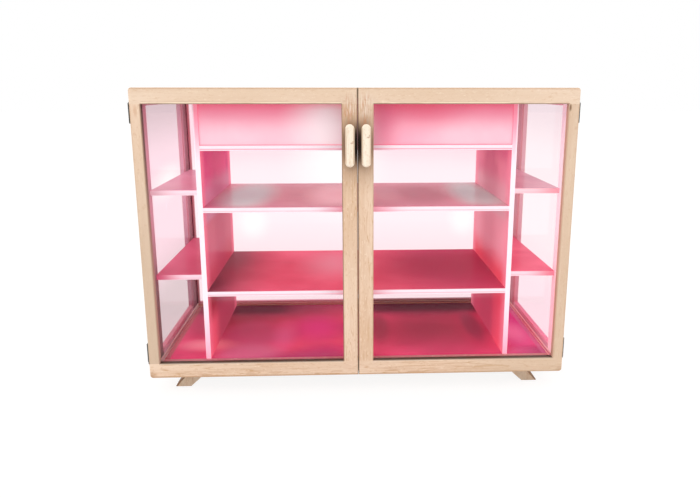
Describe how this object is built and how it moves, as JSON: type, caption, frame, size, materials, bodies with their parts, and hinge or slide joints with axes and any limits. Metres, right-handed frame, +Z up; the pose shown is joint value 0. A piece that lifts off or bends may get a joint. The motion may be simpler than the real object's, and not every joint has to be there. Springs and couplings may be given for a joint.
{
  "type": "tabletop display case",
  "caption": "Small wooden display case with glazed sides and back, framed glass doors on side hinges, bar handles, splayed feet and a fitted insert of pink shelves.",
  "frame": {"origin": "on the surface that the feet stand on, at the middle of the outer box", "axes": "+X to the right as seen from the front, +Y from the doors to the back, +Z up"},
  "size_m": [0.3058, 0.1548, 0.218],
  "materials": {
    "door_wood": "fine-grained pale hardwood, matt varnish",
    "case_wood": "fine-grained pale hardwood, matt varnish",
    "handle_wood": "smooth pale hardwood, matt varnish",
    "foot_wood": "pale hardwood, matt varnish",
    "pink_gloss": "pink gloss faces with pale front edges",
    "floor_gloss": "deep pink gloss",
    "glass": "clear, polished",
    "hinge_metal": "dark grey, worn",
    "screw_steel": "dulled steel",
    "magnet_plating": "nickel plated"
  },
  "bodies": {
    "case": {"base_board": "case_wood", "top_board": "case_wood", "back_frame_bottom_rail": "case_wood", "back_frame_top_rail": "case_wood", "back_glass": "glass", "floor_panel": "floor_gloss", "front_floor_margin": "case_wood", "back_floor_margin": "case_wood", "top_fascia": "pink_gloss", "upper_shelf": "pink_gloss", "middle_shelf": "pink_gloss", "lower_shelf": "pink_gloss", "foot_screws": "screw_steel", "hinge_pins": "hinge_metal", "case_hinge_screws": "screw_steel", "case_magnets": "magnet_plating", "left_front_stile": "case_wood", "left_back_stile": "case_wood", "left_bottom_rail": "case_wood", "left_top_rail": "case_wood", "left_side_glass": "glass", "left_back_frame_stile": "case_wood", "left_floor_margin": "case_wood", "left_divider": "pink_gloss", "left_high_side_shelf": "pink_gloss", "left_low_side_shelf": "pink_gloss", "left_front_foot": "foot_wood", "left_back_foot": "foot_wood", "left_case_hinge_leaves": "hinge_metal", "right_front_stile": "case_wood", "right_back_stile": "case_wood", "right_bottom_rail": "case_wood", "right_top_rail": "case_wood", "right_side_glass": "glass", "right_back_frame_stile": "case_wood", "right_floor_margin": "case_wood", "right_divider": "pink_gloss", "right_high_side_shelf": "pink_gloss", "right_low_side_shelf": "pink_gloss", "right_front_foot": "foot_wood", "right_back_foot": "foot_wood", "right_case_hinge_leaves": "hinge_metal"},
    "left_door": {"left_door_bottom_rail": "door_wood", "left_door_top_rail": "door_wood", "left_door_hinge_stile": "door_wood", "left_door_meeting_stile": "door_wood", "left_door_glass": "glass", "left_door_handle": "handle_wood", "left_door_hinge_leaves": "hinge_metal", "left_door_screws": "screw_steel", "left_door_magnet": "magnet_plating"},
    "right_door": {"right_door_bottom_rail": "door_wood", "right_door_top_rail": "door_wood", "right_door_hinge_stile": "door_wood", "right_door_meeting_stile": "door_wood", "right_door_glass": "glass", "right_door_handle": "handle_wood", "right_door_hinge_leaves": "hinge_metal", "right_door_screws": "screw_steel", "right_door_magnet": "magnet_plating"}
  },
  "joints": [
    {"name": "left_door_hinge", "type": "hinge", "parent": "case", "child": "left_door", "pos_m": [-0.1515, -0.05875, 0.116], "axis": [0, 0, -1], "range_deg": [0, 180]},
    {"name": "right_door_hinge", "type": "hinge", "parent": "case", "child": "right_door", "pos_m": [0.1515, -0.05875, 0.116], "axis": [0, 0, 1], "range_deg": [0, 180]}
  ]
}
